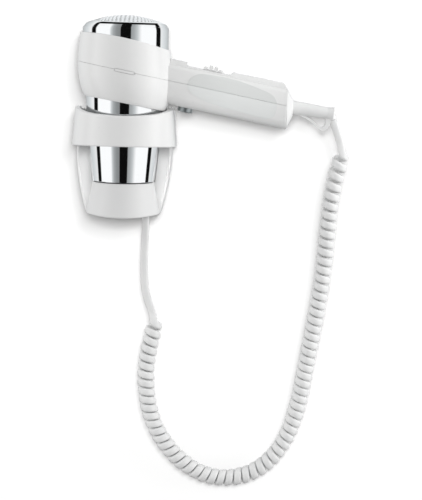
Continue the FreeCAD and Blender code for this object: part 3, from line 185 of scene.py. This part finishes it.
def finish_of(name, **values):
    """A new material with one Principled shader: (material, its nodes, the shader, coordinates in metres)."""
    m = bpy.data.materials.new(name)
    m.use_nodes = True
    m.node_tree.nodes.clear()
    n = Nodes(m.node_tree)
    out = n.new("OutputMaterial")
    shader = n.new("BsdfPrincipled")
    n.link(shader.outputs[0], out.inputs[0])
    for k, v in values.items():
        shader.inputs[k.replace("_", " ")].default_value = v
    where = n.new("TexCoord").outputs["Object"]
    return m, n, shader, where


def plastic(name, light, shade, rough, grain=1500.0, depth=0.00003, coat=0.0, level=0.5):
    """Moulded plastic: faint cloudiness in its colour, a fine eroded grain and uneven gloss."""
    m, n, s, where = finish_of(name)
    s.inputs["Specular IOR Level"].default_value = level
    s.inputs["Coat Weight"].default_value = coat
    s.inputs["Coat Roughness"].default_value = 0.12
    cloud = n.noise(where, 38.0, 4.0, 0.55)
    n.link(n.mix(n.span(cloud, 0.3, 0.7, 0.0, 1.0), (*shade, 1), (*light, 1)), s.inputs["Base Color"])
    patches = n.noise(where, 120.0, 3.0)
    n.link(n.span(patches, 0.25, 0.75, rough[0], rough[1]), s.inputs["Roughness"])
    fine = n.noise(where, grain, 2.0, 0.6)
    ripple = n.noise(where, 90.0, 1.0)
    n.link(
        n.bump(fine, 0.3, depth, n.bump(ripple, 0.2, 0.00002)),
        s.inputs["Normal"],
    )
    return m


white = plastic("white_plastic", (0.755, 0.757, 0.752), (0.735, 0.737, 0.735), (0.27, 0.34), coat=0.1)
# The holder's white is a darker copy of the handset's white plastic: painted shade that dims the pedestal below the
# collar.
holder_white_painted_shade = plastic("holder_plastic", (0.7, 0.702, 0.7), (0.69, 0.692, 0.692), (0.42, 0.5))
dark = plastic("dark_plastic", (0.035, 0.036, 0.038), (0.022, 0.023, 0.025), (0.42, 0.58), depth=0.00005)


def grip(name="grip_plastic", light=(0.655, 0.668, 0.66), shade=(0.615, 0.63, 0.625)):
    """Soft-touch pads: a leathery fine grain over a matt grey-white."""
    m, n, s, where = finish_of(name)
    s.inputs["Specular IOR Level"].default_value = 0.32
    cloud = n.noise(where, 55.0, 4.0)
    n.link(n.mix(cloud, (*shade, 1), (*light, 1)), s.inputs["Base Color"])
    n.link(n.span(n.noise(where, 200.0, 2.0), 0.3, 0.7, 0.5, 0.62), s.inputs["Roughness"])
    grain = n.cells(where, 1900.0).outputs["Distance"]
    n.link(n.bump(grain, 0.3, 0.00004, n.bump(n.noise(where, 700.0), 0.2, 0.00004)), s.inputs["Normal"])
    return m


def cord_vinyl():
    """Soft vinyl: slightly waxy, with a faint cloudy tone, uneven gloss and a fine grain."""
    m, n, s, where = finish_of("cord_plastic")
    s.inputs["Specular IOR Level"].default_value = 0.45
    s.inputs["Subsurface Weight"].default_value = 0.0
    cloud = n.noise(where, 60.0, 5.0, 0.6)
    n.link(n.mix(n.span(cloud, 0.3, 0.7, 0.0, 1.0), (0.77, 0.775, 0.775, 1), (0.82, 0.82, 0.815, 1)), s.inputs["Base Color"])
    n.link(n.span(n.noise(where, 260.0, 3.0), 0.3, 0.7, 0.3, 0.44), s.inputs["Roughness"])
    n.link(n.bump(n.noise(where, 1300.0, 2.0), 0.3, 0.00003), s.inputs["Normal"])
    return m


def chrome(name="chrome", rough=(0.035, 0.075), tint=(0.83, 0.845, 0.855)):
    """Plated plastic: a mirror with the slight waviness of the moulding under it."""
    m, n, s, where = finish_of(name)
    s.inputs["Metallic"].default_value = 1.0
    haze = n.noise(where, 70.0, 5.0, 0.6)
    n.link(n.mix(haze, (*[c * 0.965 for c in tint], 1), (*tint, 1)), s.inputs["Base Color"])
    n.link(n.span(haze, 0.3, 0.75, rough[0], rough[1]), s.inputs["Roughness"])
    n.link(n.bump(n.noise(where, 26.0, 1.0), 0.12, 0.00008), s.inputs["Normal"])
    return m


def metal(name, tint, rough, bands=None):
    m, n, s, where = finish_of(name)
    s.inputs["Metallic"].default_value = 1.0
    speck = n.noise(where, 400.0, 4.0, 0.6)
    n.link(n.mix(speck, (*[c * 0.8 for c in tint], 1), (*tint, 1)), s.inputs["Base Color"])
    n.link(n.span(speck, 0.3, 0.7, rough - 0.07, rough + 0.07), s.inputs["Roughness"])
    height = n.wave(where, bands, "Z", 1.2) if bands else n.noise(where, 900.0, 3.0)
    n.link(n.bump(height, 0.3, 0.00005), s.inputs["Normal"])
    return m


def mica():
    m, n, s, where = finish_of("mica")
    flakes = n.cells(where, 260.0)
    n.link(n.ramp(flakes.outputs["Distance"], ((0.0, (0.42, 0.34, 0.22)), (0.5, (0.55, 0.47, 0.33)), (1.0, (0.66, 0.6, 0.46)))), s.inputs["Base Color"])
    n.link(n.span(flakes.outputs["Distance"], 0.0, 1.0, 0.25, 0.5), s.inputs["Roughness"])
    n.link(n.bump(flakes.outputs["Distance"], 0.3, 0.00008), s.inputs["Normal"])
    return m


def magnet():
    m, n, s, where = finish_of("magnet")
    grit = n.noise(where, 1500.0, 4.0, 0.7)
    n.link(n.mix(grit, (0.05, 0.05, 0.055, 1), (0.11, 0.11, 0.115, 1)), s.inputs["Base Color"])
    n.link(n.span(grit, 0.3, 0.7, 0.45, 0.65), s.inputs["Roughness"])
    n.link(n.bump(grit, 0.5, 0.00006), s.inputs["Normal"])
    return m


def board():
    m, n, s, where = finish_of("board")
    weave = n.math("MULTIPLY", n.wave(where, 320.0, "X"), n.wave(where, 320.0, "Y"))
    n.link(n.mix(weave, (0.17, 0.11, 0.045, 1), (0.24, 0.16, 0.07, 1)), s.inputs["Base Color"])
    n.link(n.span(n.noise(where, 300.0), 0.3, 0.7, 0.4, 0.55), s.inputs["Roughness"])
    n.link(n.bump(weave, 0.3, 0.00004), s.inputs["Normal"])
    return m


def filter_mesh():
    """Fine woven steel gauze seen through the intake's holes, coloured near-black as painted shade for the dark
    inside of the holes.
    """
    m, n, s, where = finish_of("filter_mesh")
    s.inputs["Metallic"].default_value = 0.3
    weave = n.math("MAXIMUM", n.wave(where, 420.0, "X"), n.wave(where, 420.0, "Y"))
    # Near-black gauze: painted shade standing in for the darkness inside the intake's holes.
    n.link(n.mix(weave, (0.008, 0.008, 0.01, 1), (0.05, 0.052, 0.056, 1)), s.inputs["Base Color"])
    n.link(n.span(weave, 0.0, 1.0, 0.6, 0.35), s.inputs["Roughness"])
    n.link(n.bump(weave, 0.6, 0.0001), s.inputs["Normal"])
    return m


finishes = {
    "chrome": chrome(),
    "white_plastic": white,
    "holder_plastic": holder_white_painted_shade,
    "grip_plastic": grip(),
    "cord_plastic": cord_vinyl(),
    "filter_mesh": filter_mesh(),
    "dark_plastic": dark,
    "steel": metal("steel", (0.52, 0.53, 0.54), 0.3),
    "brass": metal("brass", (0.75, 0.58, 0.26), 0.28),
    "copper": metal("copper", (0.72, 0.34, 0.2), 0.3, 700.0),
    "mica": mica(),
    "magnet": magnet(),
    "board": board(),
}
own_finish = {
    "ring_collar": white,
    # The lower pads get a lighter copy of the grip finish: painted light for how the light falls on the lower half of
    # the handle's side.
    "grip_pads_lower": grip("grip_low_painted_light", (0.72, 0.735, 0.73), (0.68, 0.695, 0.69)),
    "push_button": metal("satin_metal", (0.47, 0.51, 0.52), 0.44),
}
for node in nodes.values():
    for i, s in enumerate(node.material_slots):
        base = s.material.name.split(".")[0] if s.material else ""
        s.material = own_finish.get(node.name, finishes.get(base, finishes["dark_plastic"]))
        if base not in finishes:
            print("no finish for", node.name, base)


# ---------------------------------------------------------------- the cord

MM = 0.001
lower_lead = [(20.0, -12.0, -51.2), (19.7, -12.2, -73.0), (19.0, -13.0, -97.0), (21.0, -14.2, -124.0), (29.5, -16.0, -145.0)]
coil_run = [
    (29.8, -16.0, -160.0), (24.6, -15.2, -179.0), (22.4, -15.0, -209.0), (29.0, -15.0, -246.5),
    (48.8, -15.0, -277.5), (77.0, -15.2, -298.0), (108.0, -15.8, -301.5), (136.5, -17.2, -289.5),
    (157.5, -20.0, -262.5), (168.8, -23.2, -226.0), (174.0, -27.5, -190.0), (181.0, -32.0, -147.0),
    (187.6, -37.5, -100.0), (190.0, -43.5, -52.0), (193.4, -47.6, -16.0), (198.9, -50.5, 6.8),
]
upper_lead = [(200.4, -52.6, 19.2), (196.1, -52.2, 32.2), (191.12, -52.0, 45.93)]
route = [Vector(p) * MM for p in lower_lead + coil_run + upper_lead]


def spline_points(points, name="route"):
    """The points of the route's own smooth line."""
    data = bpy.data.curves.new(name, "CURVE")
    data.dimensions = "3D"
    spline = data.splines.new("NURBS")
    spline.points.add(len(points) - 1)
    for q, p in zip(spline.points, points):
        q.co = (*p, 1.0)
    spline.order_u = 3
    spline.use_endpoint_u = True
    data.resolution_u = 48
    carrier = bpy.data.objects.new(name, data)
    mesh = bpy.data.meshes.new_from_object(carrier)
    line = np.array([v.co for v in mesh.vertices], float)
    bpy.data.meshes.remove(mesh)
    bpy.data.objects.remove(carrier)
    bpy.data.curves.remove(data)
    return line


def evenly(line, step):
    along = np.concatenate([[0], np.cumsum(np.linalg.norm(np.diff(line, axis=0), axis=1))])
    at = np.linspace(0, along[-1], int(along[-1] / step) + 1)
    return np.stack([np.interp(at, along, line[:, k]) for k in range(3)], axis=1), at


def unit(v):
    return v / np.maximum(np.linalg.norm(v, axis=-1, keepdims=True), 1e-12)


def ease(x):
    x = np.clip(x, 0.0, 1.0)
    return x * x * (3 - 2 * x)


STEP = 0.0001
axis, along = evenly(spline_points(route), STEP)
tangent = unit(np.gradient(axis, axis=0))
kernel = np.ones(61) / 61.0
tangent = unit(np.stack([np.convolve(np.pad(tangent[:, k], 30, mode="edge"), kernel, "valid") for k in range(3)], axis=1))
to_front = np.array([0.0, -1.0, 0.0])
front = unit(to_front - (tangent @ to_front)[:, None] * tangent)
side = np.cross(tangent, front)

RADIUS = 5.5 * MM  # the coil's own centreline radius
THICK, WIDE = 4.2 * MM, 6.6 * MM
start = along[np.argmin(np.abs(axis[:, 2] + 0.1415) + (along > 0.2))]
end = along[np.argmin(np.abs(axis[:, 2] - 0.0262) + (along < 0.5) * 1.0)]
grow = ease((along - start) / (14 * MM)) * ease((end - along) / (15 * MM))
turning = ease((along - start - 8 * MM) / (7 * MM)) * ease((end - 8 * MM - along) / (7 * MM))
share = np.clip((along - start) / (end - start), 0, 1)
# The turns hang open at the top, where they carry the weight of the rest.
pitch = MM * np.interp(
    share,
    [0.02, 0.1, 0.2, 0.32, 0.4, 0.5, 0.6, 0.68, 0.75, 0.82, 0.88, 0.92, 0.95, 1.0],
    [8.33, 8.24, 7.85, 7.95, 8.19, 7.9, 7.66, 7.85, 8.33, 8.67, 8.91, 9.5, 10.4, 10.8],
)
rate = turning / pitch
turns = np.cumsum(rate) * STEP
turns *= round(turns[-1]) / turns[-1]
print("coil turns", round(turns[-1]), "axis length", along[-1])
theta = -2 * np.pi * turns
spread = RADIUS * grow * (1 + 0.02 * np.sin(along * 210.0) + 0.015 * np.sin(along * 77.0 + 2.0))
spread *= 1 - 0.2 * ease((along - end + 24 * MM) / (12 * MM))  # the last turns are pulled tighter
radial = np.cos(theta)[:, None] * front + np.sin(theta)[:, None] * side
wire = axis + spread[:, None] * radial
wire_along = np.concatenate([[0], np.cumsum(np.linalg.norm(np.diff(wire, axis=0), axis=1))])
count = int(wire_along[-1] / (1.15 * MM)) + 1
at = np.linspace(0, wire_along[-1], count)


def sampled(values):
    return np.stack([np.interp(at, wire_along, values[:, k]) for k in range(values.shape[1])], axis=1)


centre = sampled(wire)
out = unit(sampled(radial))
heading = unit(np.gradient(centre, axis=0))
out = unit(out - (out * heading).sum(1)[:, None] * heading)
across = np.cross(heading, out)

# Flat twin cord: two round cores side by side under one jacket, with a shallow crease down each flat side.
SIDES = 24
section = []
for i in range(SIDES):
    a = 2 * math.pi * (i + 0.5) / SIDES
    c, s = math.cos(a), math.sin(a)
    p = 2.7
    k = (abs(c) ** p + abs(s) ** p) ** (-1 / p)
    w, t = c * k * WIDE / 2, s * k * THICK / 2
    crease = 0.11 * MM * math.exp(-((w / (0.55 * MM)) ** 2))
    t -= math.copysign(crease, t)
    section.append((w, t))
verts, faces = [], []
for j in range(count):
    for w, t in section:
        verts.append(centre[j] + across[j] * w + out[j] * t)
for j in range(count - 1):
    for i in range(SIDES):
        k = (i + 1) % SIDES
        faces.append((j * SIDES + i, j * SIDES + k, (j + 1) * SIDES + k, (j + 1) * SIDES + i))
faces.append(tuple(reversed(range(SIDES))))
faces.append(tuple((count - 1) * SIDES + i for i in range(SIDES)))
cord = mesh_piece("curly_cord", verts, faces)
cord.data.materials.append(finishes["cord_plastic"])
cord.visible_glossy = False
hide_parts("cord_lead_lower", "cord_coil", "cord_lead_upper")
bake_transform(cord)


# ---------------------------------------------------------------- light

# The studio as a mirror sees it, by direction: tall white panels to the left and right,
# a dark gap where the camera stands and one at each side, and dark above.
world = bpy.data.worlds.new("studio")
scene.world = world
world.use_nodes = True
world.node_tree.nodes.clear()
n = Nodes(world.node_tree)
direction = n.new("TexCoord").outputs["Generated"]
parts = n.new("SeparateXYZ")
n.link(direction, parts.inputs[0])
x, y, z = parts.outputs
turn = n.math("ADD", n.math("DIVIDE", n.math("ARCTAN2", x, n.math("MULTIPLY", y, -1.0)), 2 * math.pi), 0.5)
rise = n.math("ADD", n.math("DIVIDE", n.math("ARCSINE", z), math.pi), 0.5)
# Above the horizon the panels lean over the object and meet a dark beam high behind it.
overhead = n.math("GREATER_THAN", z, 0.0)
lean = n.math("ADD", n.math("DIVIDE", n.math("ARCTAN2", x, n.math("SUBTRACT", 0.9925, y)), math.pi), 0.5)
turn = n.math("ADD", turn, n.math("MULTIPLY", overhead, n.math("SUBTRACT", lean, turn)))
toward = n.math("ADD", n.math("ADD", n.math("MULTIPLY", y, -0.9925), n.math("MULTIPLY", z, 0.1219)), 1.0001)
steep = n.math("DIVIDE", n.math("ADD", z, 0.1219), n.math("SQRT", n.math("MULTIPLY", toward, 2.0)))


def around(stops):
    return [(d / 360.0 + 0.5, v) for d, v in stops]


def upward(stops):
    return [(d / 180.0 + 0.5, v) for d, v in stops]


def cool(v):
    return (v * 0.955, v * 0.99, v * 1.0)


BLACK = 0.004
panels = n.ramp(
    turn,
    around(
        (
            (-180, cool(0.4)), (-150, cool(0.56)), (-124, cool(0.76)), (-107, 0.9), (-101.5, 0.9),
            (-100.5, BLACK), (-85, BLACK), (-84, 1.0), (-42, 1.0), (-37, cool(0.62)), (-31, cool(0.4)),
            (-22, cool(0.28)), (-13.5, cool(0.24)), (-12.2, 0.34), (-11.5, BLACK),
            (15.8, BLACK), (16.6, cool(0.34)), (25, cool(0.42)), (34, cool(0.6)), (41, 0.85), (46, 1.0),
            (91.6, 1.0), (92.6, BLACK), (109.2, BLACK), (110.2, 0.9), (130, cool(0.76)), (155, cool(0.56)), (180, cool(0.4)),
        )
    ),
)
front_height = n.ramp(rise, upward(((-90, 0.22), (-60, 0.3), (-38, 0.7), (-26, 1.0), (90, 1.0))))
back_height = n.ramp(rise, upward(((-90, 0.22), (-40, 0.35), (-20, 0.68), (-8, 0.95), (90, 0.95))))
height = n.mix(n.span(y, 0.0, 0.3, 0.0, 1.0), front_height, back_height)
seen = n.new("Mix", data_type="RGBA", blend_type="MULTIPLY")
seen.inputs[0].default_value = 1.0
n.link(panels, seen.inputs[6])
n.link(height, seen.inputs[7])
beyond = n.math("MULTIPLY", overhead, n.span(steep, 0.932, 0.944, 0.0, 1.0))
beam = n.math("MULTIPLY", overhead, n.math("MULTIPLY", n.span(steep, 0.8, 0.815, 0.0, 1.0), n.span(steep, 0.932, 0.944, 1.0, 0.0)))
ends = n.math(
    "MULTIPLY",
    n.span(turn, 0.5 - 101.5 / 360, 0.5 - 99.5 / 360, 0.0, 1.0),
    n.span(turn, 0.5 + 108.2 / 360, 0.5 + 110.2 / 360, 1.0, 0.0),
)
sky = n.mix(beyond, seen.outputs[2], (0.8, 0.815, 0.825, 1))
sky = n.mix(n.math("MULTIPLY", beam, ends), sky, (BLACK, BLACK, BLACK, 1))
mirror = n.new("Background")
n.link(sky, mirror.inputs["Color"])
mirror.inputs["Strength"].default_value = 1.18

# What lights matt surfaces: an even soft room, brighter above than below.
room = n.new("Background")
n.link(n.ramp(rise, upward(((-90, 0.62), (-30, 0.72), (0, 0.78), (35, 0.86), (90, 0.95)))), room.inputs["Color"])
room.inputs["Strength"].default_value = 0.92
plain = n.new("Background")
plain.inputs["Color"].default_value = (0.955, 0.957, 0.96, 1)
ray = n.new("LightPath")
matt_or_mirror = n.new("MixShader")
n.link(ray.outputs["Is Glossy Ray"], matt_or_mirror.inputs[0])
n.link(room.outputs[0], matt_or_mirror.inputs[1])
n.link(mirror.outputs[0], matt_or_mirror.inputs[2])
all_rays = n.new("MixShader")
n.link(ray.outputs["Is Camera Ray"], all_rays.inputs[0])
n.link(matt_or_mirror.outputs[0], all_rays.inputs[1])
n.link(plain.outputs[0], all_rays.inputs[2])
n.link(all_rays.outputs[0], n.new("OutputWorld").inputs[0])


def softbox(name, azimuth, elevation, distance, size, power, aim=(0.07, -0.04, -0.02), only=None):
    """Large area lamp that matt surfaces see and mirrors don't. only: the collection that it lights."""
    data = bpy.data.lights.new(name, "AREA")
    data.shape = "RECTANGLE"
    data.size, data.size_y = size
    data.energy = power
    lamp = link(bpy.data.objects.new(name, data))
    a, e = math.radians(azimuth), math.radians(elevation)
    away = Vector((math.sin(a) * math.cos(e), -math.cos(a) * math.cos(e), math.sin(e)))
    lamp.location = Vector(aim) + away * distance
    lamp.rotation_mode = "QUATERNION"
    lamp.rotation_quaternion = away.to_track_quat("Z", "Y")
    lamp.visible_glossy = False
    lamp.visible_camera = False
    if only is not None:
        lamp.light_linking.receiver_collection = only
    return lamp


# ---------------------------------------------------------------- stage


def stage_plane(name, corners, colour):
    o = mesh_piece(name, corners, [(0, 1, 2, 3)], smooth=False)
    m, n, s, where = finish_of(name)
    s.inputs["Specular IOR Level"].default_value = 0.0
    s.inputs["Roughness"].default_value = 1.0
    n.link(n.mix(n.noise(where, 9.0, 3.0), (*[c * 0.985 for c in colour], 1), (*colour, 1)), s.inputs["Base Color"])
    o.data.materials.append(m)
    o.visible_glossy = False
    return o, m, n, s


GAP = 0.0004
wall, wall_finish, n, s = stage_plane(
    "wall", [(-0.27, GAP, -0.55), (0.42, GAP, -0.55), (0.42, GAP, 0.42), (-0.27, GAP, 0.42)], (0.36, 0.36, 0.36)
)
# The wall also glows faintly to the camera: an even emission that lifts the shadows on it.
s.inputs["Emission Color"].default_value = (0.05, 0.049, 0.048, 1)
s.inputs["Emission Strength"].default_value = 1.0
# To the object the wall is a plain glowing grey card, an even emission that lights it from behind, so that it doesn't
# outshine the lamps.
ray = n.new("LightPath")
glow_card = n.new("Emission")
glow_card.inputs["Color"].default_value = (0.46, 0.46, 0.46, 1)
faced = n.new("MixShader")
n.link(ray.outputs["Is Camera Ray"], faced.inputs[0])
n.link(glow_card.outputs[0], faced.inputs[1])
n.link(s.outputs[0], faced.inputs[2])
# It shows only its face: from behind, and right against the holder's back, it lets everything by.
clear = n.new("BsdfTransparent")
behind = n.new("NewGeometry").outputs["Backfacing"]
near = n.math("LESS_THAN", ray.outputs["Ray Length"], 0.0012)
shown = n.new("MixShader")
n.link(n.math("MAXIMUM", behind, near), shown.inputs[0])
n.link(faced.outputs[0], shown.inputs[1])
n.link(clear.outputs[0], shown.inputs[2])
n.link(shown.outputs[0], [q for q in n.tree.nodes if q.bl_idname == "ShaderNodeOutputMaterial"][0].inputs[0])
floor, _, n, s = stage_plane("floor", [(-4, -4, -0.56), (4, -4, -0.56), (4, 4, -0.56), (-4, 4, -0.56)], (0.84, 0.845, 0.85))
from_below = n.new("MixShader")
n.link(n.new("NewGeometry").outputs["Backfacing"], from_below.inputs[0])
n.link(s.outputs[0], from_below.inputs[1])
n.link(n.new("BsdfTransparent").outputs[0], from_below.inputs[2])
n.link(from_below.outputs[0], [q for q in n.tree.nodes if q.bl_idname == "ShaderNodeOutputMaterial"][0].inputs[0])
floor.visible_diffuse = False

wall_only = bpy.data.collections.new("wall_only")
wall_only.objects.link(wall)
softbox("wall_key", 0.0, 8.8, 1.82, (0.28, 0.28), 50.0, aim=(0.0823, -0.04, -0.02), only=wall_only)
softbox("wall_side", 9.0, 16.0, 2.2, (0.4, 0.4), 35.0, only=wall_only)
softbox("left_panel", -76.0, 12.0, 1.6, (0.9, 1.2), 9.0)
softbox("right_panel", 76.0, 14.0, 1.6, (0.9, 1.2), 17.0)

# A narrow beam from the front that lifts the handle, which the barrel keeps the left panel off.
handset_only = bpy.data.collections.new("handset_only")
for node in nodes.values():
    handset_only.objects.link(node)
handle_fill = softbox("handle_fill", 6.0, 6.0, 1.2, (0.1, 0.07), 0.0045, aim=(0.098, -0.06, 0.068), only=handset_only)
handle_fill.data.spread = math.radians(6.0)
# Two more for the back shell's panels beside the nozzle, which the collar keeps the room off.
shell_only = bpy.data.collections.new("shell_only")
shell_only.objects.link(nodes["holder_shell"])
for side_name, sign in (("left", -1), ("right", 1)):
    beam = softbox("%s_beam" % side_name, 0.0, 7.0, 0.5, (0.010, 0.045), 0.0008, aim=(sign * 0.0375, -0.046, -0.014), only=shell_only)
    beam.data.spread = math.radians(2.0)
    beam.light_linking.blocker_collection = shell_only

scene.view_settings.view_transform = "Standard"
scene.view_settings.look = "None"
scene.view_settings.exposure = 0.0
